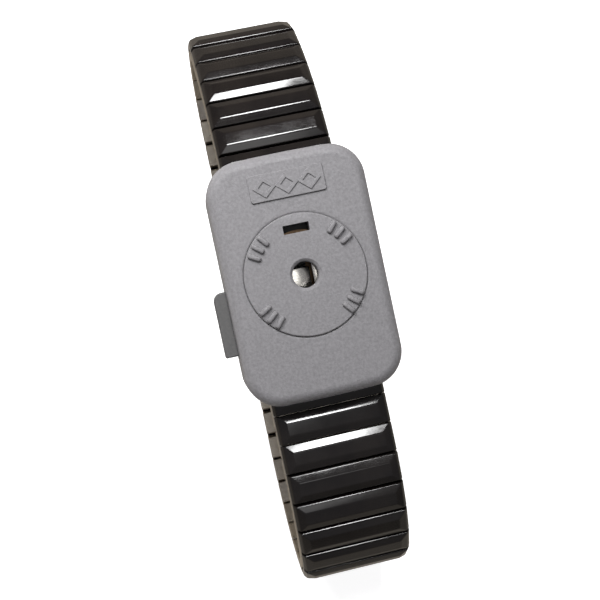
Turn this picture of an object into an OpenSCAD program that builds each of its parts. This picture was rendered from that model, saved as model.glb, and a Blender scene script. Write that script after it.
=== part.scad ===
// Wrist strap with a metal expansion band and a plastic plug housing.
// The closed loop stands on its flat back run, with the housing level on top.
// Row +X runs from the plug hole towards the nameplate, +Y towards the release slide, +Z up.
// Z = 0 is the resting plane, directly below the plug hole.

/* [Housing] */
// Length of the housing along the band
housing_length = 34.0; // [28:0.1:40]
// Width of the housing across the band
housing_width = 22.0; // [18:0.1:26]
// Level of the flat top face of the housing
housing_top = 38.2; // [34:0.1:44]
// Level of the underside of the housing
housing_bottom = 29.4; // [27:0.1:31]
// Level of the joint between top cover and base
housing_split = 32.2; // [31:0.1:34]
// Corner radius of the housing in plan
corner_radius = 4.6; // [2:0.1:8]
// Radius of the softened top edge
edge_radius = 1.4; // [0.4:0.1:2]
// Wall thickness of both covers
wall = 1.5; // [1:0.1:2.5]

/* [Disc] */
// Radius of the swivel disc
disc_radius = 8.4; // [6:0.1:10]
// Height of the disc face above the housing top
disc_proud = 0.2; // [0:0.05:0.6]
// Running clearance round the disc, radial
disc_clearance = 0.05; // [0.02:0.01:0.1]
// Radius of the plug hole
plug_radius = 1.8; // [1:0.05:3]
// Length and breadth of the key slot
slot_size = [3.6, 1.2]; // [1:0.1:6]
// Distance of the key slot from the centre
slot_offset = 6.35; // [4:0.1:7.5]

/* [Band] */
// Distance from one link to the next
pitch = 4.15; // [3.5:0.05:5]
// Width of the band over its covers
band_width = 16.0; // [12:0.1:20]
// Height of the covers above the bending line
cover_height = 1.9; // [1.4:0.05:2.6]
// Depth of the inner shells below the bending line
shell_depth = 1.5; // [1.2:0.05:2]
// Outer level of the band where it leaves the housing
band_level = 34.0; // [32:0.1:36]
// Links in the half on the nameplate side
links_upper = 18; // [12:1:24]
// Links in the other half
links_lower = 21; // [12:1:24]
// Nameplate side: entry length and angle, then radius and end angle of two bends
bend_upper = [3, 13, 34, 50, 10, 82]; // [0:0.5:90]
// Other side: entry length and angle, then radius and end angle of two bends
bend_lower = [12, 0, 20, 42, 11, 82]; // [0:0.5:90]

/* [Release slide] */
// Length of the finger tab
tab_length = 9; // [5:0.1:12]
// Distance the tab stands out of the housing side
tab_proud = 1.8; // [1:0.1:3]
// Inward travel of the tab
tab_travel = 1.5; // [0.5:0.1:1.8]

/* [Hidden] */
$fn = 64;
cover_bevel = 1.1;      // breadth of the long bevels
cover_rise = 0.45;      // height of the bevels
end_bevel = 1.5;        // breadth of the end bevels
shoulder = [0.4, 0.55]; // steep chamfer outside each end bevel
row_gap = 0.15;         // each row's distance from the bending line
cover_gap = 0.12;       // gap between neighbouring covers on a flat run
skirt = 0.35;           // end wall of a cover
bow_t = 0.3;            // thickness of a bow across the band
leg = 0.5;              // section of a bow's legs
leg_u = 0.5;            // legs stand this far from a sleeve's centre
leg_in = 4.3;           // legs reach in to this distance from the centre line
sleeve_half = band_width / 2 - 0.75;
shell_half = band_width / 2 + 0.1;
bow_out = band_width / 2 - skirt - 0.05;
cover_leg_w = 0.85;
shell_leg_w = -1.0;
deck = band_level - cover_height;          // bending line at the housing
drop = deck - cover_height;                // down to the back run
disc_top = housing_top + disc_proud;
plate_under = housing_top - wall;          // underside of the top wall
cavity = [24.8, housing_width - 2 * wall];
mouth_half = band_width / 2 + 0.5;
boss_x = 10.6;
boss_y = 7.6;
tab_z = [32.5, 35.2];
tab_x1 = 0;
tab_x0 = tab_x1 - tab_length;
rivet_y = 3.4;
floor_top = housing_bottom + 1;

// The course of one half is a list of runs, each [length, first angle, last angle]: the
// entry, two bends, and an arc that turns it under. A straight back run follows.
function arc_length(r, a, b) = r * (b - a) * PI / 180;
function run_step(run, s) =
    let (a = run[1], k = (run[2] - a) / run[0], r = k == 0 ? 0 : 180 / (PI * k), e = a + k * s)
    k == 0 ? [s * cos(a), -s * sin(a)] : [r * (sin(e) - sin(a)), r * (cos(e) - cos(a))];
function walk(c, s, i = 0) = i == len(c) ? [-s, 0]
    : s < c[i][0] ? run_step(c[i], s)
    : run_step(c[i], c[i][0]) + walk(c, s - c[i][0], i + 1);
function course(b) =
    let (c = [[b[0], 0, b[1]], [arc_length(b[2], b[1], b[3]), b[1], b[3]],
              [arc_length(b[4], b[3], b[5]), b[3], b[5]]],
         r = (drop + walk(c, c[0][0] + c[1][0] + c[2][0])[1]) / (1 + cos(b[5])))
    concat(c, [[arc_length(r, b[5], 180), b[5], 180]]);
function path_angle(c, s, i = 0) = s < 0 ? 0 : i == len(c) ? 180
    : s < c[i][0] ? c[i][1] + (c[i][2] - c[i][1]) * s / c[i][0]
    : path_angle(c, s - c[i][0], i + 1);
function path_point(c, x0, s) = s < 0 ? [x0 + s, deck] : [x0, deck] + walk(c, s);
// A point given in the frame of the band at s: u along the band, w outward.
function band_point(c, x0, s, u, w) =
    let (a = path_angle(c, s), q = path_point(c, x0, s))
    [q[0] + u * cos(a) + w * sin(a), q[1] - u * sin(a) + w * cos(a)];
course_upper = course(bend_upper);
course_lower = course(bend_lower);
x0_upper = -walk(course_upper, (links_upper + 0.5) * pitch)[0];
x0_lower = -walk(course_lower, (links_lower + 0.5) * pitch)[0];

module at_band(c, x0, s) {
    q = path_point(c, x0, s);
    translate([q[0], 0, q[1]]) rotate([0, path_angle(c, s), 0]) children();
}

// Extrude a profile drawn in (x, z) across the band.
module across(width) { rotate([90, 0, 0]) linear_extrude(height = width, center = true) children(); }
// Extrude a profile drawn in (y, z) along the band.
module along(length) { rotate([90, 0, 90]) linear_extrude(height = length, center = true) children(); }

// Outer sleeve with its four-sided bevel, hollow for the legs and the leaf spring.
module bevelled_sleeve() {
    l = (pitch - cover_gap) / 2;
    y = band_width / 2;
    h = cover_height;
    difference() {
        intersection() {
            across(band_width + 1) polygon([[-l, row_gap], [l, row_gap], [l, h - cover_rise],
                [l - cover_bevel, h], [-l + cover_bevel, h], [-l, h - cover_rise]]);
            along(pitch) polygon([[-y, row_gap], [y, row_gap], [y, h - cover_rise - shoulder[1]],
                [y - shoulder[0], h - cover_rise], [y - end_bevel, h], [-y + end_bevel, h],
                [-y + shoulder[0], h - cover_rise], [-y, h - cover_rise - shoulder[1]]]);
        }
        translate([-l + 0.25, -sleeve_half - 0.05, 0.38])
            cube([2 * l - 0.5, 2 * sleeve_half + 0.1, 0.86]);
        for (m = [0, 1]) mirror([0, m, 0])
            translate([-l + 0.12, sleeve_half, 0]) cube([2 * l - 0.24, y - skirt - sleeve_half, 1.15]);
    }
}

// Inner sleeve, tapered so that neighbours clear each other in a bend.
module inner_sleeve() {
    difference() {
        across(2 * shell_half) polygon([[-1.85, -row_gap], [1.85, -row_gap],
            [1.68, -shell_depth], [-1.68, -shell_depth]]);
        translate([-1.4, -sleeve_half - 0.05, -shell_depth + 0.22])
            cube([2.8, 2 * sleeve_half + 0.1, 0.86]);
        for (m = [0, 1]) mirror([0, m, 0]) translate([-1.55, sleeve_half, -shell_depth + 0.22])
            cube([3.1, band_width / 2 - skirt - sleeve_half, shell_depth]);
    }
}

module leaf_spring(w) { translate([-1.15, -6.4, w]) cube([2.3, 12.8, 0.1]); }

// A U-shaped bow: two legs across the band and a bridge at the band's edge.
module bow(c, x0, sa, ua, wa, sb, ub, wb) {
    p = band_point(c, x0, sa, ua, wa);
    q = band_point(c, x0, sb, ub, wb);
    d = (q - p) / norm(q - p);
    n = [-d[1], d[0]] * leg / 2;
    e = d * 0.1;
    for (m = [0, 1]) mirror([0, m, 0]) union() {
        at_band(c, x0, sa) translate([ua - leg / 2, leg_in, wa - leg / 2])
            cube([leg, bow_out - leg_in, leg]);
        at_band(c, x0, sb) translate([ub - leg / 2, leg_in, wb - leg / 2])
            cube([leg, bow_out - leg_in, leg]);
        translate([0, bow_out, 0]) rotate([90, 0, 0]) linear_extrude(height = bow_t)
            polygon([p - e + n, q + e + n, q + e - n, p - e - n]);
    }
}

// Everything that links one cover to the next, set at the inner sleeve of s.
module inner_joint(c, x0, s) {
    at_band(c, x0, s) { inner_sleeve(); leaf_spring(-0.66); }
    bow(c, x0, s, leg_u, shell_leg_w, s + pitch / 2, -leg_u, cover_leg_w);
}

module link(c, x0, k) {
    s = (k - 0.5) * pitch;
    at_band(c, x0, s) { bevelled_sleeve(); leaf_spring(1.12); }
    inner_joint(c, x0, s + pitch / 2);
    bow(c, x0, s, leg_u, cover_leg_w, s + pitch / 2, -leg_u, shell_leg_w);
}

module band_link(c, x0, k) { color([0.05, 0.045, 0.04]) link(c, x0, k); }
module upper_link(k) { band_link(course_upper, x0_upper, k); }
module lower_link(k) { mirror([1, 0, 0]) band_link(course_lower, x0_lower, k); }

module insulating_link() {
    color([0.03, 0.03, 0.03]) at_band(course_upper, x0_upper, (links_upper + 0.5) * pitch) {
        bevelled_sleeve();
        leaf_spring(1.12);
    }
}

// Box with round corners in plan and a round edge at its top, standing on z = 0.
module edge_profile(width, h, r) {
    union() {
        translate([-width / 2, 0]) square([width, h - r]);
        translate([-width / 2 + r, 0]) square([width - 2 * r, h]);
        for (s = [-1, 1]) translate([s * (width / 2 - r), h - r]) circle(r);
    }
}
module soft_box(l, w, h, rc, re) {
    along(l - 2 * rc) edge_profile(w, h, re);
    across(w - 2 * rc) edge_profile(l, h, re);
    for (sx = [-1, 1], sy = [-1, 1]) translate([sx * (l / 2 - rc), sy * (w / 2 - rc), 0])
        rotate_extrude() intersection() {
            edge_profile(2 * rc, h, re);
            square([rc + 1, h + 1]);
        }
}
module bosses(r, z0, z1) {
    for (sx = [-1, 1], sy = [-1, 1]) translate([sx * boss_x, sy * boss_y, z0])
        cylinder(h = z1 - z0, r = r);
}
module block(x0, x1, y0, y1, z0, z1) {
    translate([x0, y0, z0]) cube([x1 - x0, y1 - y0, z1 - z0]);
}

module top_cover() {
    z0 = housing_split + 0.03;
    color([0.56, 0.56, 0.54]) difference() {
        union() {
            difference() {
                union() {
                    translate([0, 0, z0])
                        soft_box(housing_length, housing_width, housing_top - z0, corner_radius, edge_radius);
                    block(10.65, 14.35, -5.2, 5.2, housing_top - 0.5, housing_top + 0.2);
                    for (i = [-1:1]) translate([12.5, i * 3.1, housing_top]) difference() {
                        cylinder(h = 0.32, r = 1.2);
                        translate([0, 0, -1]) cylinder(h = 2, r = 0.85);
                    }
                }
                block(-cavity[0] / 2, cavity[0] / 2, -cavity[1] / 2, cavity[1] / 2, z0 - 1, plate_under);
            }
            bosses(1.5, z0, plate_under + 0.3);
        }
        for (m = [0, 1]) mirror([m, 0, 0])
            block(cavity[0] / 2 - 0.5, 20, -mouth_half, mouth_half, z0 - 1, band_level + 0.4);
        translate([0, 0, plate_under - 1]) cylinder(h = 4, r = disc_radius + disc_clearance);
        translate([0, 0, housing_top - 0.25]) cylinder(h = 1, r = disc_radius + 0.4);
        block(tab_x0 - 0.15, tab_x1 + 0.15, cavity[1] / 2 - 1, housing_width, z0 - 1, tab_z[1] + 0.1);
        bosses(0.75, z0 - 1, plate_under - 0.6);
    }
}

module base_cover() {
    h = housing_split - housing_bottom;
    color([0.5, 0.5, 0.49]) difference() {
        union() {
            difference() {
                translate([0, 0, housing_split]) mirror([0, 0, 1])
                    soft_box(housing_length, housing_width, h, corner_radius, 0.8);
                block(-cavity[0] / 2, cavity[0] / 2, -cavity[1] / 2, cavity[1] / 2, floor_top, 40);
            }
            bosses(1.5, floor_top - 0.2, housing_split);
        }
        for (m = [0, 1]) mirror([m, 0, 0])
            union() {
                block(cavity[0] / 2 - 0.5, 20, -mouth_half, mouth_half, floor_top, 40);
                block(13.4, 20, -mouth_half, mouth_half, floor_top - 0.25, 40);
            }
        bosses(0.75, housing_bottom - 1, 40);
        bosses(1.4, housing_bottom - 1, housing_bottom + 0.7);
        for (sx = [-1, 1], sy = [-1, 1]) translate([sx * 10.6, sy * rivet_y, housing_bottom - 1])
            cylinder(h = 3, r = 0.55);
    }
}

module swivel_disc() {
    color([0.58, 0.58, 0.56]) difference() {
        union() {
            translate([0, 0, plate_under - 0.1]) cylinder(h = disc_top - plate_under + 0.1, r = disc_radius);
            translate([0, 0, plate_under - 1]) cylinder(h = 0.9, r = 9);
            for (c = [50.5, 129.5, 230.5, 309.5], i = [-1:1]) rotate([0, 0, c + 10 * i])
                translate([6.4, 0, disc_top - 0.05]) rotate([90, 0, 90]) linear_extrude(height = 1.85)
                    intersection() {
                        circle(0.37);
                        translate([-1, 0]) square(2);
                    }
        }
        translate([0, 0, plate_under - 2]) cylinder(h = 5, r = plug_radius);
        translate([0, 0, disc_top - 0.35]) cylinder(h = 0.7, r1 = plug_radius, r2 = plug_radius + 0.7);
        translate([0, 0, plate_under - 2]) cylinder(h = 1.9, r = 7.6);
        translate([slot_offset, 0, disc_top]) cube([slot_size[1], slot_size[0], 10], center = true);
    }
}

module ring(r0, r1, z0, z1) {
    translate([0, 0, z0]) difference() {
        cylinder(h = z1 - z0, r = r1);
        translate([0, 0, -1]) cylinder(h = z1 - z0 + 2, r = r0);
    }
}
module friction_ring() { color([0.75, 0.74, 0.7]) ring(7.75, 8.8, 35.43, 35.62); }
module slip_ring() { color([0.7, 0.6, 0.35]) ring(5.2, 6.25, 35.43, 36.2); }

module contact_carrier() {
    color([0.04, 0.04, 0.04]) difference() {
        translate([0, 0, 31.4]) cylinder(h = 4, r = 8.4);
        block(-3.6, 3.6, -3.4, 3.4, 30, 40);
        block(-10, 1, tab_travel + 5.1, 10, 30, 35.25);
        block(-6.3, -2.7, 3.3, 9, 32.8, 34.4);
        block(-2.6, 0.8, 4.7, 9, 32.8, 34.8);
    }
}

// Bowed contact leaf seen through the plug hole, with its foot at one end.
module contact_leaf(y0, y1, reach) {
    translate([0, (y0 + y1) / 2, 0]) across(y1 - y0) union() {
        intersection() {
            translate([0, 30.5]) difference() { circle(4); circle(3.75); }
            translate([-3.05, 32]) square([3.05 + reach, 4]);
        }
        translate([-3.3, 31.36]) square([0.3, 1.9]);
    }
}
module pin_contact_left() { color([0.8, 0.78, 0.72]) contact_leaf(-0.5, 2.6, 1.1); }
module pin_contact_right() {
    color([0.8, 0.78, 0.72]) mirror([1, 0, 0]) contact_leaf(-3.1, -0.9, 2.9);
}

// Strip from a contact's foot to the end bracket.
module lead(foot_x, y0, y1, end_x) {
    difference() {
        block(min(foot_x, end_x), max(foot_x, end_x), y0, y1, 31.13, 31.33);
        for (sx = [-1, 1], sy = [-1, 1]) translate([sx * 10.6, sy * rivet_y, 30]) cylinder(h = 3, r = 0.55);
    }
}
module lead_upper() { color([0.72, 0.5, 0.3]) lead(-3.4, 0.6, 4.6, 11.6); }
module lead_lower() { color([0.72, 0.5, 0.3]) lead(3.4, -4.6, -1.0, -11.6); }

// Bracket that ties the band to the housing, with the first inner sleeve and its bows.
module end_bracket(c, x0) {
    z = deck - shell_depth;
    difference() {
        union() {
            at_band(c, x0, 0) inner_sleeve();
            block(9.3, x0 - 1.5, -5.6, 5.6, z, z + 0.5);
        }
        for (sy = [-1, 1]) translate([10.6, sy * rivet_y, z - 1]) cylinder(h = 3, r = 0.55);
    }
    at_band(c, x0, 0) leaf_spring(-0.66);
    bow(c, x0, 0, leg_u, shell_leg_w, pitch / 2, -leg_u, cover_leg_w);
}
module end_bracket_upper() { color([0.55, 0.53, 0.48]) end_bracket(course_upper, x0_upper); }
module end_bracket_lower() {
    color([0.55, 0.53, 0.48]) mirror([1, 0, 0]) end_bracket(course_lower, x0_lower);
}

module bracket_rivets() {
    color([0.7, 0.68, 0.62]) for (sx = [-1, 1], sy = [-1, 1]) translate([sx * 10.6, sy * rivet_y, 0]) {
        translate([0, 0, floor_top - 0.6]) cylinder(h = 31.4 - floor_top + 0.6, r = 0.5);
        translate([0, 0, 31.38]) cylinder(h = 0.35, r = 0.9);
    }
}

module cover_screws() {
    color([0.6, 0.6, 0.6]) for (sx = [-1, 1], sy = [-1, 1]) translate([sx * boss_x, sy * boss_y, 0])
        difference() {
            union() {
                translate([0, 0, housing_bottom + 0.1]) cylinder(h = 0.58, r = 1.3);
                translate([0, 0, housing_bottom + 0.3]) cylinder(h = 5.6, r = 0.7);
            }
            for (a = [0, 90]) translate([0, 0, housing_bottom]) rotate([0, 0, a])
                cube([1.5, 0.3, 0.8], center = true);
        }
}

module release_slide() {
    w = housing_width / 2;
    color([0.42, 0.42, 0.4]) union() {
        translate([0, 0, tab_z[0]]) linear_extrude(height = tab_z[1] - tab_z[0]) union() {
            translate([tab_x0, 9]) square([tab_length - 1.2, w + tab_proud - 9]);
            translate([tab_x0, 9]) square([tab_length, w + tab_proud - 9 - 1.2]);
            translate([tab_x1 - 1.2, w + tab_proud - 1.2]) circle(1.2);
        }
        block(tab_x0 + 0.1, tab_x1 + 0.8, 8.7, 9.4, tab_z[0] - 0.9, tab_z[1] - 0.1);
        block(-6, -3, 5.1, 9, 33, 34.2);
    }
}

// Bowed leaf that pushes the release slide outward.
module release_spring() {
    color([0.75, 0.74, 0.7]) translate([-0.9, 0, 33.1]) linear_extrude(height = 1.4) intersection() {
        translate([0, 7.95]) difference() { circle(1.45); circle(1.25); }
        translate([-2, 4]) square([4, 4.65]);
    }
}

top_cover();
base_cover();
swivel_disc();
friction_ring();
slip_ring();
contact_carrier();
pin_contact_left();
pin_contact_right();
lead_upper();
lead_lower();
end_bracket_upper();
end_bracket_lower();
bracket_rivets();
cover_screws();
release_slide();
release_spring();
insulating_link();
upper_link(1);  // upper_link_01
upper_link(2);  // upper_link_02
upper_link(3);  // upper_link_03
upper_link(4);  // upper_link_04
upper_link(5);  // upper_link_05
upper_link(6);  // upper_link_06
upper_link(7);  // upper_link_07
upper_link(8);  // upper_link_08
upper_link(9);  // upper_link_09
upper_link(10);  // upper_link_10
upper_link(11);  // upper_link_11
upper_link(12);  // upper_link_12
upper_link(13);  // upper_link_13
upper_link(14);  // upper_link_14
upper_link(15);  // upper_link_15
upper_link(16);  // upper_link_16
upper_link(17);  // upper_link_17
upper_link(18);  // upper_link_18
lower_link(1);  // lower_link_01
lower_link(2);  // lower_link_02
lower_link(3);  // lower_link_03
lower_link(4);  // lower_link_04
lower_link(5);  // lower_link_05
lower_link(6);  // lower_link_06
lower_link(7);  // lower_link_07
lower_link(8);  // lower_link_08
lower_link(9);  // lower_link_09
lower_link(10);  // lower_link_10
lower_link(11);  // lower_link_11
lower_link(12);  // lower_link_12
lower_link(13);  // lower_link_13
lower_link(14);  // lower_link_14
lower_link(15);  // lower_link_15
lower_link(16);  // lower_link_16
lower_link(17);  // lower_link_17
lower_link(18);  // lower_link_18
lower_link(19);  // lower_link_19
lower_link(20);  // lower_link_20
lower_link(21);  // lower_link_21
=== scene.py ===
import math

import bmesh
import bpy
from mathutils import Matrix, Vector


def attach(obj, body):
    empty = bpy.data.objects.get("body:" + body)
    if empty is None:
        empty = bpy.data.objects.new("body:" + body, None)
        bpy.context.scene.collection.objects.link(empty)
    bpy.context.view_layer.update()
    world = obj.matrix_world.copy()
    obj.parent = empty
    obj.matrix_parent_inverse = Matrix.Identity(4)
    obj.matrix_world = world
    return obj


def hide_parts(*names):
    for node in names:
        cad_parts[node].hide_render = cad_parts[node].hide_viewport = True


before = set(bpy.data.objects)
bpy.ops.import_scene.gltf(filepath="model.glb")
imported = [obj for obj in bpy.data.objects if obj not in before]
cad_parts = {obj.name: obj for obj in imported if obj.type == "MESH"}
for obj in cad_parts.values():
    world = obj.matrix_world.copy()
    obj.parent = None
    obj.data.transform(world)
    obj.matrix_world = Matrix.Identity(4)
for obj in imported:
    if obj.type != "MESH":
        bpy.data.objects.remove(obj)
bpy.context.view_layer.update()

MM = 0.001

# ---------------------------------------------------------------- driving dimensions, in millimetres
PITCH = 4.15
BAND_WIDTH = 16.0
COVER_HEIGHT = 1.9
SHELL_DEPTH = 1.5
ROW_GAP = 0.15
COVER_GAP = 0.12
BAND_LEVEL = 34.0
LINKS = {"upper": 18, "lower": 21}
# length and end angle of the entry, then radius and end angle of two bends
BENDS = {"upper": (3, 13, 34, 50, 10, 82), "lower": (12, 0, 20, 42, 11, 82)}
SIDES = {"upper": 1, "lower": -1}
LEG_HALF = 0.24                        # half the section of a bow's legs
LEG_U = 0.5                            # legs stand this far from a sleeve's centre
LEG_IN = 4.3                           # legs reach in to this distance from the centre line
COVER_LEG_W = 0.85                     # height of the legs in a cover
SHELL_LEG_W = -1.0                     # and in an inner sleeve
SLEEVE_HALF = BAND_WIDTH / 2 - 0.75
BOW_OUT = BAND_WIDTH / 2 - 0.40        # outer face of a bow
BOW_T = 0.3                            # thickness of a bow across the band
BOW_R = 0.25                           # half its width, and the radius of its ends
SLEEVE_PLAY = 0.05                     # the sleeves' inside is longer than SLEEVE_HALF by this
SKIRT = 0.35                           # end wall of a cover or an inner sleeve
COVER_LEAF_W, SHELL_LEAF_W = 1.12, -0.66
LEAF_HALF_LENGTH, LEAF_HALF_WIDTH, LEAF_T = 1.15, 6.4, 0.1
DECK = BAND_LEVEL - COVER_HEIGHT
DROP = DECK - COVER_HEIGHT

HALF_LENGTH, HALF_WIDTH = 17.0, 11.0
TOP, BOTTOM, SPLIT = 38.2, 29.4, 32.2
CORNER = 4.6
EDGE = 1.5
END_BOW = 0.35
PLATE_UNDER = TOP - 1.5
DISC_R = 8.4
DISC_TOP = TOP + 0.2
PLUG_R = 1.8
TAB = (-9.0, 0.0)
TAB_OUT = 12.8
TAB_Z = (32.5, 35.2)
MOUTH = BAND_WIDTH / 2 + 0.5           # half-width of the opening that the band enters
MOUTH_IN, MOUTH_OUT = 11.9, 20.0       # its reach along X; the outer end is past the housing
INNER_X, INNER_Y, INNER_R = 12.4, HALF_WIDTH - 1.5, 2.0  # hollow of the housing in plan
BELOW, ABOVE = 30, 40                  # cutters run on past the surface to these heights
PLATE_X, PLATE_HALF_X, PLATE_HALF_Y = 12.5, 1.85, 5.2
RIB_R = 7.3
RIB_GROUPS, RIB_STEP = (50.5, 129.5, 230.5, 309.5), 10


# ---------------------------------------------------------------- mesh helpers
def new_object(name, verts, faces, material=None):
    """A mesh object from points in millimetres."""
    mesh = bpy.data.meshes.new(name)
    mesh.from_pydata([tuple(c * MM for c in v) for v in verts], [], faces)
    mesh.validate()
    obj = bpy.data.objects.new(name, mesh)
    bpy.context.scene.collection.objects.link(obj)
    if material:
        mesh.materials.append(material)
    fix = bmesh.new()
    fix.from_mesh(mesh)
    bmesh.ops.recalc_face_normals(fix, faces=fix.faces)
    fix.to_mesh(mesh)
    fix.free()
    return obj


def box(name, x0, x1, y0, y1, z0, z1, material=None):
    verts = [(x, y, z) for z in (z0, z1) for y in (y0, y1) for x in (x0, x1)]
    faces = [(0, 1, 3, 2), (4, 6, 7, 5), (0, 4, 5, 1), (2, 3, 7, 6), (0, 2, 6, 4), (1, 5, 7, 3)]
    return new_object(name, verts, faces, material)


def loft(name, rings, material=None):
    """Closed solid through rings of equal point counts, capped at both ends."""
    n = len(rings[0])
    verts = [p for ring in rings for p in ring]
    faces = [tuple(range(n)), tuple(range((len(rings) - 1) * n, len(rings) * n))]
    for r in range(len(rings) - 1):
        a, b = r * n, (r + 1) * n
        faces += [(a + i, a + (i + 1) % n, b + (i + 1) % n, b + i) for i in range(n)]
    return new_object(name, verts, faces, material)


def lathe(name, profile, segments=128, material=None, centre=(0, 0)):
    """Solid of revolution about Z from (radius, z) points, which run from axis to axis or close on themselves."""
    rings = []
    for i in range(segments):
        a = 2 * math.pi * i / segments
        rings.append([(centre[0] + r * math.cos(a), centre[1] + r * math.sin(a), z) for r, z in profile])
    verts = [p for ring in rings for p in ring]
    n = len(profile)
    faces = []
    for i in range(segments):
        a, b = i * n, ((i + 1) % segments) * n
        faces += [(a + j, a + (j + 1) % n, b + (j + 1) % n, b + j) for j in range(n)]
    obj = new_object(name, verts, faces, material)
    weld = bmesh.new()
    weld.from_mesh(obj.data)
    bmesh.ops.remove_doubles(weld, verts=weld.verts, dist=1e-8)
    bmesh.ops.dissolve_degenerate(weld, edges=weld.edges, dist=1e-8)
    bmesh.ops.recalc_face_normals(weld, faces=weld.faces)
    weld.to_mesh(obj.data)
    weld.free()
    return obj


def extrude(name, outline, z0, z1, material=None):
    return loft(name, [[(x, y, z0) for x, y in outline], [(x, y, z1) for x, y in outline]], material)


def round_rectangle(hx, hy, r, bow=0.0, steps=14, side=10, centre=(0, 0)):
    """Rounded rectangle with its ends bowed outward by bow."""
    points = []
    for sx, sy, start in ((1, 1, 0), (-1, 1, 90), (-1, -1, 180), (1, -1, 270)):
        for i in range(steps + 1):
            a = math.radians(start + 90 * i / steps)
            points.append((sx * (hx - r) + r * math.cos(a), sy * (hy - r) + r * math.sin(a)))
        if side:
            x, y = points[-1]
            across = sx * sy > 0
            for i in range(1, side):
                t = i / side
                points.append((x - sx * 2 * (hx - r) * t, y) if across else (x, y - sy * 2 * (hy - r) * t))
    out = []
    for x, y in points:
        if abs(x) > hx - r - 1e-9:
            x += math.copysign(bow * (1 - (y / hy) ** 2), x)
        out.append((x + centre[0], y + centre[1]))
    return out


def soft_rings(hx, hy, r, bow, levels):
    """Rings of a rounded box; levels are (z, inset)."""
    return [[(x, y, z) for x, y in round_rectangle(hx - d, hy - d, max(r - d, 0.05), bow)] for z, d in levels]


def quarter(z, inset, r, up, steps=6):
    """Levels of a rounded edge that ends at height z."""
    out = []
    for i in range(steps + 1):
        a = math.pi / 2 * i / steps
        out.append((z - up * r * (1 - math.sin(a)), inset + r * (1 - math.cos(a))))
    return out


def modifier(obj, kind, **settings):
    m = obj.modifiers.new(kind.lower(), kind)
    for key, value in settings.items():
        setattr(m, key, value)
    return m


def cut(obj, *cutters):
    for c in cutters:
        modifier(obj, "BOOLEAN", object=c, operation="DIFFERENCE", solver="EXACT")
    apply(obj)
    for c in cutters:
        bpy.data.objects.remove(c)
    return obj


def apply(obj):
    """Replaces the mesh with its modified shape."""
    bpy.context.view_layer.update()
    deps = bpy.context.evaluated_depsgraph_get()
    mesh = bpy.data.meshes.new_from_object(obj.evaluated_get(deps), depsgraph=deps)
    mesh.name = obj.name
    obj.modifiers.clear()
    obj.data = mesh
    return obj


def shade(obj, degrees=35, weighted=True):
    """Smooth faces with sharp edges above an angle, and flat faces that stay flat."""
    work = bmesh.new()
    work.from_mesh(obj.data)
    limit = math.radians(degrees)
    for f in work.faces:
        f.smooth = True
    for e in work.edges:
        e.smooth = len(e.link_faces) == 2 and e.calc_face_angle(0) < limit
    work.to_mesh(obj.data)
    work.free()
    if weighted:
        modifier(obj, "WEIGHTED_NORMAL", keep_sharp=True, weight=80)
    return obj


def bevelled(obj, width, segments=3, angle=30):
    modifier(obj, "BEVEL", width=width * MM, segments=segments, limit_method="ANGLE",
             angle_limit=math.radians(angle), use_clamp_overlap=True)
    return apply(obj)


def join(name, objects):
    """One object from several, with their materials kept."""
    work = bmesh.new()
    materials = []
    for o in objects:
        own = list(o.data.materials)
        for m in own:
            if m not in materials:
                materials.append(m)
        part = bmesh.new()
        part.from_mesh(o.data)
        part.transform(o.matrix_world)
        for f in part.faces:
            f.material_index = materials.index(own[f.material_index]) if own else 0
        keep = bpy.data.meshes.new("part")
        part.to_mesh(keep)
        part.free()
        work.from_mesh(keep)
        bpy.data.meshes.remove(keep)
    mesh = bpy.data.meshes.new(name)
    work.to_mesh(mesh)
    work.free()
    for m in materials:
        mesh.materials.append(m)
    for o in objects:
        bpy.data.objects.remove(o)
    obj = bpy.data.objects.new(name, mesh)
    bpy.context.scene.collection.objects.link(obj)
    return obj


# ---------------------------------------------------------------- materials
def material(name, color, roughness, metallic=0.0, **sockets):
    mat = bpy.data.materials.new(name)
    mat.use_nodes = True
    shader = mat.node_tree.nodes["Principled BSDF"]
    shader.inputs["Base Color"].default_value = (*color, 1)
    shader.inputs["Roughness"].default_value = roughness
    shader.inputs["Metallic"].default_value = metallic
    for key, value in sockets.items():
        shader.inputs[key.replace("_", " ")].default_value = value
    return mat, mat.node_tree, shader


def noise(tree, scale, detail, stretch=(1, 1, 1), roughness=0.5):
    coords = tree.nodes.new("ShaderNodeTexCoord")
    mapping = tree.nodes.new("ShaderNodeMapping")
    mapping.inputs["Scale"].default_value = stretch
    tex = tree.nodes.new("ShaderNodeTexNoise")
    tex.inputs["Scale"].default_value = scale
    tex.inputs["Detail"].default_value = detail
    tex.inputs["Roughness"].default_value = roughness
    tree.links.new(coords.outputs["Object"], mapping.inputs["Vector"])
    tree.links.new(mapping.outputs["Vector"], tex.inputs["Vector"])
    return tex.outputs["Fac"]


def ramp(tree, fac, stops):
    node = tree.nodes.new("ShaderNodeValToRGB")
    elements = node.color_ramp.elements
    while len(elements) < len(stops):
        elements.new(0.5)
    for e, (at, value) in zip(elements, stops):
        e.position = at
        e.color = (*value, 1) if isinstance(value, tuple) else (value, value, value, 1)
    tree.links.new(fac, node.inputs["Fac"])
    return node.outputs["Color"]


def bump(tree, shader, height, strength, distance):
    node = tree.nodes.new("ShaderNodeBump")
    node.inputs["Strength"].default_value = strength
    node.inputs["Distance"].default_value = distance
    tree.links.new(height, node.inputs["Height"])
    tree.links.new(node.outputs["Normal"], shader.inputs["Normal"])


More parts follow.
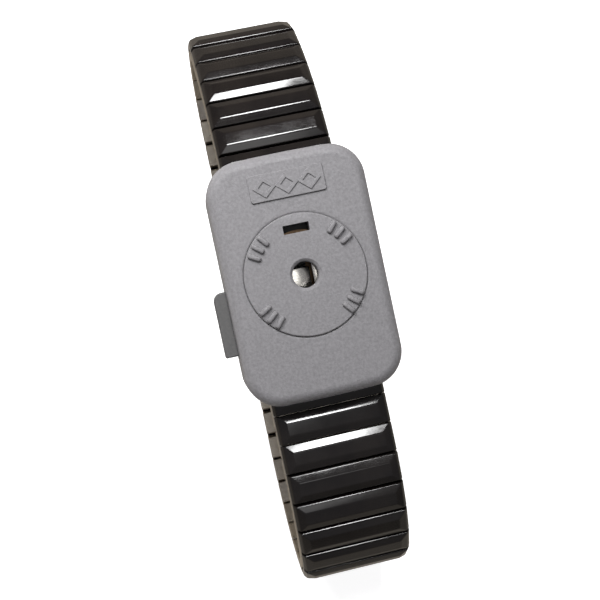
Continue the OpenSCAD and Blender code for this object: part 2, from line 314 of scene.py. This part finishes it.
def plastic(name, light, dark, roughness, grain):
    """Moulded plastic with a fine spark-eroded stipple."""
    mat, tree, shader = material(name, light, roughness)
    tree.links.new(ramp(tree, noise(tree, 2600, 4, roughness=0.7), [(0.36, dark), (0.64, light)]),
                   shader.inputs["Base Color"])
    tree.links.new(ramp(tree, noise(tree, 900, 3), [(0.3, roughness - 0.06), (0.7, roughness + 0.06)]),
                   shader.inputs["Roughness"])
    bump(tree, shader, noise(tree, 3000, 3, roughness=0.65), grain, 0.00010)
    return mat


def coating():
    """Glossy black coating over pressed steel, slightly warm, with a faint orange peel and handling haze."""
    mat, tree, shader = material("cover_coating", (0.006, 0.005, 0.005), 0.13)
    dark, light = (0.0045, 0.0035, 0.0035), (0.010, 0.008, 0.007)
    tree.links.new(ramp(tree, noise(tree, 300, 3), [(0.3, dark), (0.75, light)]), shader.inputs["Base Color"])
    tree.links.new(ramp(tree, noise(tree, 400, 4), [(0.3, 0.07), (0.8, 0.13)]), shader.inputs["Roughness"])
    bump(tree, shader, noise(tree, 320, 2), 0.10, 0.00006)
    return mat


def steel(name, light, dark, roughness):
    """Rolled strip with fine lines along Y."""
    mat, tree, shader = material(name, light, roughness, 1.0)
    lines = noise(tree, 9000, 3, (1, 0.06, 1))
    tree.links.new(ramp(tree, noise(tree, 500, 4), [(0.3, dark), (0.7, light)]), shader.inputs["Base Color"])
    tree.links.new(ramp(tree, lines, [(0.3, roughness - 0.08), (0.7, roughness + 0.1)]),
                   shader.inputs["Roughness"])
    bump(tree, shader, lines, 0.15, 0.00002)
    return mat


GREY = plastic("housing_plastic", (0.202, 0.197, 0.205), (0.156, 0.152, 0.158), 0.46, 0.55)
# The release slide is the housing's grey plastic made darker: painted shade for the tab's lower, less lit place
# beside the housing.
SHADED_SLIDE_GREY = plastic("slide_plastic", (0.088, 0.087, 0.086), (0.074, 0.073, 0.073), 0.46, 0.3)
BLACK = plastic("carrier_plastic", (0.012, 0.012, 0.012), (0.008, 0.008, 0.008), 0.5, 0.15)
COATING = coating()
STEEL = steel("band_steel", (0.72, 0.67, 0.59), (0.56, 0.52, 0.455), 0.34)
SPRING = steel("spring_steel", (0.26, 0.25, 0.24), (0.20, 0.195, 0.185), 0.34)
NICKEL = steel("contact_nickel", (0.80, 0.77, 0.71), (0.70, 0.67, 0.61), 0.18)
# Copper darkened far below its own colour: painted shade, so that the slip ring seen through the disc's slot reads
# nearly black.
SHADED_COPPER = steel("copper_alloy", (0.20, 0.135, 0.085), (0.14, 0.095, 0.06), 0.42)


# ---------------------------------------------------------------- course of the band
def run_step(run, s):
    """Displacement (x, z) after s along a run of constant curvature: (length, first angle, last angle)."""
    length, first, last = run
    k = (last - first) / length
    a = first + k * s
    if k == 0:
        return s * math.cos(a), -s * math.sin(a)
    return (math.sin(a) - math.sin(first)) / k, (math.cos(a) - math.cos(first)) / k


class Half:
    """One half of the band: entry, bend, tighter bend, an arc that turns it under, then the straight back run."""

    def __init__(self, name):
        self.count = LINKS[name]
        self.flip = Matrix.Rotation(math.pi, 4, "Z") if SIDES[name] < 0 else Matrix.Identity(4)
        entry, a0, r1, a1, r2, a2 = BENDS[name]
        a0, a1, a2 = math.radians(a0), math.radians(a1), math.radians(a2)
        self.runs = [(entry, 0.0, a0), (r1 * (a1 - a0), a0, a1), (r2 * (a2 - a1), a1, a2)]
        level = DROP + self.walk(sum(r[0] for r in self.runs))[1]
        self.runs.append((level / (1 + math.cos(a2)) * (math.pi - a2), a2, math.pi))
        self.x0 = -self.walk((self.count + 0.5) * PITCH)[0]

    def walk(self, s):
        x = z = 0.0
        for run in self.runs:
            dx, dz = run_step(run, min(s, run[0]))
            x, z = x + dx, z + dz
            if s < run[0]:
                return x, z
            s -= run[0]
        return x - s, z

    def angle(self, s):
        if s <= 0:
            return 0.0
        for length, first, last in self.runs:
            if s < length:
                return first + (last - first) * s / length
            s -= length
        return math.pi

    def point(self, s):
        if s <= 0:
            return self.x0 + s, DECK
        x, z = self.walk(s)
        return self.x0 + x, DECK + z

    def matrix(self, s):
        """The band's frame at s: X along the band, Y across it, Z outward. The lower half is turned, not mirrored."""
        x, z = self.point(s)
        a = self.angle(s)
        turn = Matrix.Rotation(a, 4, "Y")
        return self.flip @ Matrix.Translation((x * MM, 0, z * MM)) @ turn

    def local(self, s, u, w):
        """Side-view point (x, z) of a place in the band's frame at s."""
        x, z = self.point(s)
        a = self.angle(s)
        return x + u * math.cos(a) + w * math.sin(a), z - u * math.sin(a) + w * math.cos(a)


# ---------------------------------------------------------------- link parts
def cover_master(look):
    """Bevelled cover, folded over a sleeve that is open below for the bows and the leaf spring."""
    l, y = (PITCH - COVER_GAP) / 2, BAND_WIDTH / 2
    edge = COVER_HEIGHT - 0.45
    quad = [(l, y, ROW_GAP), (l, y, edge - 0.55), (l, y - 0.4, edge), (l - 1.1, y - 1.5, COVER_HEIGHT)]
    verts = [(sx * p[0], sy * p[1], p[2]) for sx, sy in ((1, 1), (-1, 1), (-1, -1), (1, -1)) for p in quad]
    # quadrant q holds its four points at 4q: base, end-wall top, long-bevel end, top corner
    faces = [(0, 4, 8, 12), (3, 7, 11, 15)]
    faces += [(0, 1, 5, 4), (8, 9, 13, 12)]
    faces += [(1, 2, 6, 5), (9, 10, 14, 13), (2, 3, 7, 6), (10, 11, 15, 14)]
    faces += [(2, 3, 15, 14), (6, 7, 11, 10)]
    faces += [(0, 1, 2, 14, 13, 12), (4, 5, 6, 10, 9, 8)]
    obj = new_object("cover_master", verts, faces, look)
    bevelled(obj, 0.13, 3, 15)
    cavity, pocket, inside = l - 0.25, l - 0.25 + 0.13, SLEEVE_HALF + SLEEVE_PLAY
    cut(obj, box("c", -cavity, cavity, -inside, inside, 0.38, 1.24),
        box("c", -pocket, pocket, SLEEVE_HALF, y - SKIRT, -1, 1.15),
        box("c", -pocket, pocket, -y + SKIRT, -SLEEVE_HALF, -1, 1.15))
    return shade(obj, 40)


def shell_master():
    """Inner sleeve, narrower below so that neighbours clear each other in a bend."""
    y = BAND_WIDTH / 2 + 0.1
    top, low = 1.97, 1.73
    levels = ((-ROW_GAP, top), (-SHELL_DEPTH, low))
    verts = [(s * a, t * y, w) for w, a in levels for t in (-1, 1) for s in (-1, 1)]
    faces = [(0, 1, 3, 2), (4, 5, 7, 6), (0, 1, 5, 4), (2, 3, 7, 6), (0, 2, 6, 4), (1, 3, 7, 5)]
    obj = new_object("shell_master", verts, faces, STEEL)
    bevelled(obj, 0.16, 3, 30)
    floor, end = -SHELL_DEPTH + 0.22, BAND_WIDTH / 2 - SKIRT
    cavity, pocket, inside = 1.4, 1.55, SLEEVE_HALF + SLEEVE_PLAY
    cut(obj, box("c", -cavity, cavity, -inside, inside, floor, floor + 0.86),
        box("c", -pocket, pocket, SLEEVE_HALF, end, floor, 1),
        box("c", -pocket, pocket, -end, -SLEEVE_HALF, floor, 1))
    return shade(obj, 40)


def capsule(p, q, r, steps=8):
    """Outline of a strip with round ends about p and q, in (x, z)."""
    base = math.atan2(q[1] - p[1], q[0] - p[0])
    out = []
    for centre, start in ((q, base - math.pi / 2), (p, base + math.pi / 2)):
        for i in range(steps + 1):
            a = start + math.pi * i / steps
            out.append((centre[0] + r * math.cos(a), centre[1] + r * math.sin(a)))
    return out


def bow(half, sa, ua, wa, sb, ub, wb):
    """Two mirrored bows, each with two legs across the band and a bridge at its edge."""
    parts = []
    outline = capsule(half.local(sa, ua, wa), half.local(sb, ub, wb), BOW_R)
    for t in (-1, 1):
        rings = [[(x, t * y, z) for x, z in outline] for y in (BOW_OUT - BOW_T, BOW_OUT)]
        bridge = loft("bridge", rings, SPRING)
        bevelled(bridge, 0.06, 2)
        bridge.matrix_world = half.flip
        parts.append(bridge)
        for s, u, w in ((sa, ua, wa), (sb, ub, wb)):
            y0, y1 = sorted((t * LEG_IN, t * (BOW_OUT - BOW_T)))
            leg = box("leg", u - LEG_HALF, u + LEG_HALF, y0, y1, w - LEG_HALF, w + LEG_HALF, SPRING)
            leg.matrix_world = half.matrix(s)
            parts.append(leg)
    return parts


def leaf(half, s, w):
    """Leaf spring in the sleeve at s."""
    strip = box("leaf", -LEAF_HALF_LENGTH, LEAF_HALF_LENGTH, -LEAF_HALF_WIDTH, LEAF_HALF_WIDTH, w, w + LEAF_T, SPRING)
    strip.matrix_world = half.matrix(s)
    return strip


def placed(master, name, matrix):
    """A copy of a master part that shares its mesh."""
    obj = bpy.data.objects.new(name, master.data)
    for m in master.modifiers:
        modifier(obj, m.type, keep_sharp=True, weight=80)
    bpy.context.scene.collection.objects.link(obj)
    obj.matrix_world = matrix
    return obj


def build_band():
    cover, plain, shell = cover_master(COATING), cover_master(BLACK), shell_master()
    for name in ("upper", "lower"):
        half = Half(name)
        for k in range(1, half.count + 1):
            node = f"{name}_link_{k:02d}"
            body = node + "_body"
            s = (k - 0.5) * PITCH
            j = s + PITCH / 2
            piece = placed(cover, node + "_cover", half.matrix(s))
            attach(piece, body)
            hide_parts(node)
            inner = placed(shell, node + "_shell", half.matrix(j))
            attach(inner, body)
            parts = bow(half, s, LEG_U, COVER_LEG_W, j, -LEG_U, SHELL_LEG_W)
            parts += bow(half, j, LEG_U, SHELL_LEG_W, j + PITCH / 2, -LEG_U, COVER_LEG_W)
            parts += [leaf(half, s, COVER_LEAF_W), leaf(half, j, SHELL_LEAF_W)]
            bpy.context.view_layer.update()
            springs = shade(join(node + "_bows", parts), 35)
            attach(springs, body)
    half = Half("upper")
    last = (half.count + 0.5) * PITCH
    middle = placed(plain, "insulating_link_body_shell", half.matrix(last))
    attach(middle, "insulating_link_body")
    strip = leaf(half, last, COVER_LEAF_W)
    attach(strip, "insulating_link_body")
    strip.name = "insulating_link_leaf"
    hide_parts("insulating_link")
    for master in (cover, plain, shell):
        bpy.data.objects.remove(master)


# ---------------------------------------------------------------- housing
def lozenge_ridge(cx, cy, hx, hy, width, z0, z1):
    """Raised outline of a lozenge."""
    rings = []
    for grow, z in ((width / 2 + 0.05, z0), (width / 2, z1), (-width / 2, z1), (-width / 2 - 0.05, z0)):
        k = math.hypot(hx, hy) / (hx * hy) * grow
        rings.append([(cx + hx * (1 + k), cy, z), (cx, cy + hy * (1 + k), z),
                      (cx - hx * (1 + k), cy, z), (cx, cy - hy * (1 + k), z)])
    verts = [p for r in rings for p in r]
    faces = [(4 * r + i, 4 * r + (i + 1) % 4, 4 * ((r + 1) % 4) + (i + 1) % 4, 4 * ((r + 1) % 4) + i)
             for r in range(4) for i in range(4)]
    return bevelled(new_object("lozenge", verts, faces, GREY), 0.04, 2)


def build_top():
    levels = [(SPLIT + 0.03, 0.12), (SPLIT + 0.15, 0.0), (33.5, 0.0), (35.2, 0.02)]
    levels += quarter(TOP, 0.04, EDGE, 1, 8)
    hx = HALF_LENGTH - END_BOW
    obj = loft("housing_top", soft_rings(hx, HALF_WIDTH, CORNER, END_BOW, levels), GREY)
    seam = [(0, BELOW), (DISC_R + 0.05, BELOW), (DISC_R + 0.03, TOP - 0.30), (DISC_R + 0.05, TOP - 0.16),
            (DISC_R + 0.34, TOP), (DISC_R + 0.9, TOP + 0.3), (0, TOP + 0.3)]
    tab_slot = round_rectangle((TAB[1] - TAB[0]) / 2 + 0.15, 2.6, 0.3, 0, 4, 0, (sum(TAB) / 2, HALF_WIDTH))
    cut(obj,
        extrude("c", round_rectangle(INNER_X, INNER_Y, INNER_R), BELOW, PLATE_UNDER),
        lathe("c", seam, 160),
        extrude("c", tab_slot, BELOW, TAB_Z[1] + 0.1))
    for side in (1, -1):
        x0, x1 = sorted((side * MOUTH_IN, side * MOUTH_OUT))
        mouth = box("c", x0, x1, -MOUTH, MOUTH, BELOW, BAND_LEVEL + 0.4)
        bevelled(mouth, 0.3, 3)
        cut(obj, mouth)
    rings = []
    for z, d in [(TOP - 0.4, 0)] + quarter(TOP + 0.26, 0, 0.1, 1, 4):
        outline = round_rectangle(PLATE_HALF_X - d, PLATE_HALF_Y - d, 0.35 - d, 0, 6, 0, (PLATE_X, 0))
        rings.append([(x, y, z) for x, y in outline])
    plate = loft("plate", rings, GREY)
    marks = [lozenge_ridge(PLATE_X, y, 1.1, 1.25, 0.46, TOP + 0.1, TOP + 0.44) for y in (-3.1, 0, 3.1)]
    parts = [shade(obj, 32, False), shade(plate, 50, False)] + [shade(m, 50, False) for m in marks]
    top = join("housing_top_cover", parts)
    modifier(top, "WEIGHTED_NORMAL", keep_sharp=True, weight=80)
    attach(top, "housing")
    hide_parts("top_cover")


def build_base():
    hx = HALF_LENGTH - END_BOW
    levels = list(reversed(quarter(BOTTOM, 0, 0.8, -1, 5))) + [(SPLIT - 0.12, 0.0), (SPLIT, 0.12)]
    obj = loft("housing_base", soft_rings(hx, HALF_WIDTH, CORNER, END_BOW, levels), GREY)
    cut(obj, extrude("c", round_rectangle(INNER_X, INNER_Y, INNER_R), BOTTOM + 1, ABOVE))
    for side in (1, -1):
        x0, x1 = sorted((side * MOUTH_IN, side * MOUTH_OUT))
        cut(obj, box("c", x0, x1, -MOUTH, MOUTH, BOTTOM + 1, ABOVE))
    screw_hole = [(0, 28), (1.5, 28), (1.5, BOTTOM), (1.4, BOTTOM + 0.1), (1.4, BOTTOM + 0.7),
                  (0.75, BOTTOM + 0.7), (0.75, 34), (0, 34)]
    for sx in (-1, 1):
        for sy in (-1, 1):
            cut(obj, lathe("c", screw_hole, 48, None, (sx * 10.6, sy * 7.6)))
    shade(obj, 32)
    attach(obj, "housing")
    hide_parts("base_cover")
    obj.name = "housing_base_cover"


def grip_ridge(angle):
    """Rounded rib on the disc's face, along a radius."""
    length, width, height = 1.95, 0.74, 0.52
    obj = bpy.data.objects.new("rib", bpy.data.meshes.new("rib"))
    bpy.context.scene.collection.objects.link(obj)
    work = bmesh.new()
    bmesh.ops.create_uvsphere(work, u_segments=24, v_segments=12, radius=1)
    for v in work.verts:
        x = v.co.x * width / 2 + math.copysign((length - width) / 2, v.co.x) * (abs(v.co.x) > 1e-6)
        y = math.copysign(abs(v.co.y) ** 0.75, v.co.y) * width / 2
        v.co = Vector((x * MM, y * MM, math.copysign(abs(v.co.z) ** 0.65, v.co.z) * height * MM))
    work.to_mesh(obj.data)
    work.free()
    obj.data.materials.append(GREY)
    obj.matrix_world = (Matrix.Rotation(angle, 4, "Z")
                        @ Matrix.Translation((RIB_R * MM, 0, (DISC_TOP - 0.02) * MM)))
    return obj


def build_disc():
    r, z, p = DISC_R, DISC_TOP, PLUG_R
    profile = [(p, PLATE_UNDER - 0.1), (7.6, PLATE_UNDER - 0.1), (7.6, PLATE_UNDER - 1), (9.0, PLATE_UNDER - 1),
               (9.0, PLATE_UNDER - 0.1), (r, PLATE_UNDER - 0.1)]
    profile += [(r - d, h) for h, d in quarter(z, 0, 0.22, 1, 5)]
    profile += [(p + 0.42, z), (p + 0.34, z - 0.04), (p + 0.02, z - 0.34), (p, z - 0.42)]
    disc = lathe("disc", profile, 160, GREY)
    cut(disc, extrude("c", round_rectangle(0.6, 1.8, 0.12, 0, 4, 0, (6.35, 0)), BELOW, 45))
    shade(disc, 30, False)
    ribs = [shade(grip_ridge(math.radians(c + RIB_STEP * i)), 60, False)
            for c in RIB_GROUPS for i in (-1, 0, 1)]
    bpy.context.view_layer.update()
    disc = join("swivel_disc_face", [disc] + ribs)
    modifier(disc, "WEIGHTED_NORMAL", keep_sharp=True, weight=80)
    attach(disc, "disc_body")
    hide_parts("swivel_disc")


def build_slide():
    x0, x1 = TAB
    r = 1.2
    outline = [(x0, 9.0), (x1, 9.0)]
    outline += [(x1 - r + r * math.cos(a), TAB_OUT - r + r * math.sin(a))
                for a in [math.pi / 2 * i / 8 for i in range(9)]]
    outline += [(x0, TAB_OUT)]
    tab = bevelled(extrude("tab", outline, TAB_Z[0], TAB_Z[1], SHADED_SLIDE_GREY), 0.22, 3, 40)
    flange = box("flange", x0 + 0.1, x1 + 0.8, 8.7, 9.4, TAB_Z[0] - 0.9, TAB_Z[1] - 0.1, SHADED_SLIDE_GREY)
    tongue = box("tongue", -6, -3, 5.1, 9, 33, 34.2, SHADED_SLIDE_GREY)
    slide = shade(join("release_slide_tab", [tab, flange, tongue]), 35)
    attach(slide, "slide_body")
    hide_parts("release_slide")


def contact(name, node, y0, y1, reach, side):
    """Formed contact leaf: a nearly flat crown below the hole, a shoulder, and a foot at one end."""
    thick, crown, crest, foot, heel, steps = 0.25, 1.7, 34.5, 31.36, 3.3, 40
    xs = [-heel + (reach + heel) * i / steps for i in range(steps + 1)]
    top = [(x, crest - min(x * x, crown * crown) / 34 - max(-x - crown, 0) ** 1.4 * 0.85) for x in xs]
    outline = top + [(x, z - thick) for x, z in reversed(top) if x > -heel + thick]
    outline += [(-heel + thick, foot), (-heel, foot)]
    obj = loft(name, [[(side * x, y, z) for x, z in outline] for y in (y0, y1)], NICKEL)
    bevelled(obj, 0.05, 2, 40)
    shade(obj, 35)
    obj.name = name
    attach(obj, "housing")
    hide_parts(node)


def paint_kept_nodes():
    """The inner parts keep their CAD shape."""
    looks = {"contact_carrier": BLACK, "friction_ring": NICKEL, "slip_ring": SHADED_COPPER, "lead_upper": SHADED_COPPER,
             "lead_lower": SHADED_COPPER, "end_bracket_upper": STEEL, "end_bracket_lower": STEEL,
             "bracket_rivets": SPRING, "cover_screws": SPRING, "release_spring": SPRING}
    for node, look in looks.items():
        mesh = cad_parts[node]
        for slot_ in mesh.material_slots:
            slot_.material = look


build_band()
build_top()
build_base()
build_disc()
build_slide()
contact("left_contact", "pin_contact_left", -1.0, 2.6, 1.1, 1)
contact("right_contact", "pin_contact_right", -3.1, -1.42, 2.9, -1)
paint_kept_nodes()


# ---------------------------------------------------------------- stage, lights and camera
def build_stage():
    floor = box("floor", -900, 900, -900, 900, -2.0, -0.02)
    mat, tree, shader = material("floor", (0.88, 0.88, 0.88), 0.7)
    tree.links.new(ramp(tree, noise(tree, 6, 2), [(0.3, 0.88), (0.7, 0.90)]), shader.inputs["Base Color"])
    shader.inputs["Emission Color"].default_value = (1, 1, 1, 1)
    shader.inputs["Emission Strength"].default_value = 0.75
    floor.data.materials.append(mat)
    floor.visible_glossy = False


def area(name, location, size, energy, size_y=None):
    """Rectangular light aimed at the housing."""
    data = bpy.data.lights.new(name, "AREA")
    data.shape = "RECTANGLE"
    data.size, data.size_y = size, size_y or size
    data.energy = energy
    obj = bpy.data.objects.new(name, data)
    bpy.context.scene.collection.objects.link(obj)
    obj.location = location
    obj.rotation_euler = (Vector((0, 0, 0.03)) - Vector(location)).to_track_quat("-Z", "Y").to_euler()
    return obj


def build_lights():
    """A dim room that is lighter overhead, a soft key beyond the nameplate end and a strip for the bevels."""
    world = bpy.data.worlds.new("studio")
    bpy.context.scene.world = world
    world.use_nodes = True
    tree = world.node_tree
    coords = tree.nodes.new("ShaderNodeTexCoord")
    split = tree.nodes.new("ShaderNodeSeparateXYZ")
    tree.links.new(coords.outputs["Generated"], split.inputs["Vector"])
    below, horizon, upper, overhead = (0.36, 0.325, 0.28), (0.15, 0.14, 0.13), (0.27, 0.27, 0.285), (1.9, 1.9, 1.9)
    sky = ramp(tree, split.outputs["Z"],
               [(0.0, below), (0.25, horizon), (0.8, upper), (0.988, upper), (0.9925, overhead)])
    tree.links.new(sky, tree.nodes["Background"].inputs["Color"])
    tree.nodes["Background"].inputs["Strength"].default_value = 1.0
    key = area("key", (0.100, 0.040, 0.130), 0.07, 0.30)
    key.visible_glossy = False
    area("strip", (0.585, -0.10, 0.95), 0.085, 5.6, size_y=0.42)


def build_camera():
    """Camera nearly straight above: up in the picture is +X, turned by the roll."""
    position = Vector((-0.8, 15.5, DISC_TOP + 140.7)) * MM
    tilt_x, tilt_y, roll = 0.099, -0.017, 0.211
    view = (Matrix.Rotation(roll, 3, "Z") @ Matrix.Rotation(tilt_y, 3, "Y") @ Matrix.Rotation(tilt_x, 3, "X"))
    data = bpy.data.cameras.new("camera")
    data.sensor_width = 36.0
    data.lens = 63.18
    data.clip_start = 0.005
    camera = bpy.data.objects.new("camera", data)
    bpy.context.scene.collection.objects.link(camera)
    up, left, toward = view[0], view[1], view[2]
    turn = Matrix((-left, up, toward)).transposed()
    camera.matrix_world = Matrix.Translation(position) @ turn.to_4x4()
    bpy.context.scene.camera = camera


build_stage()
build_lights()
build_camera()
bpy.context.scene.view_settings.view_transform = "Standard"
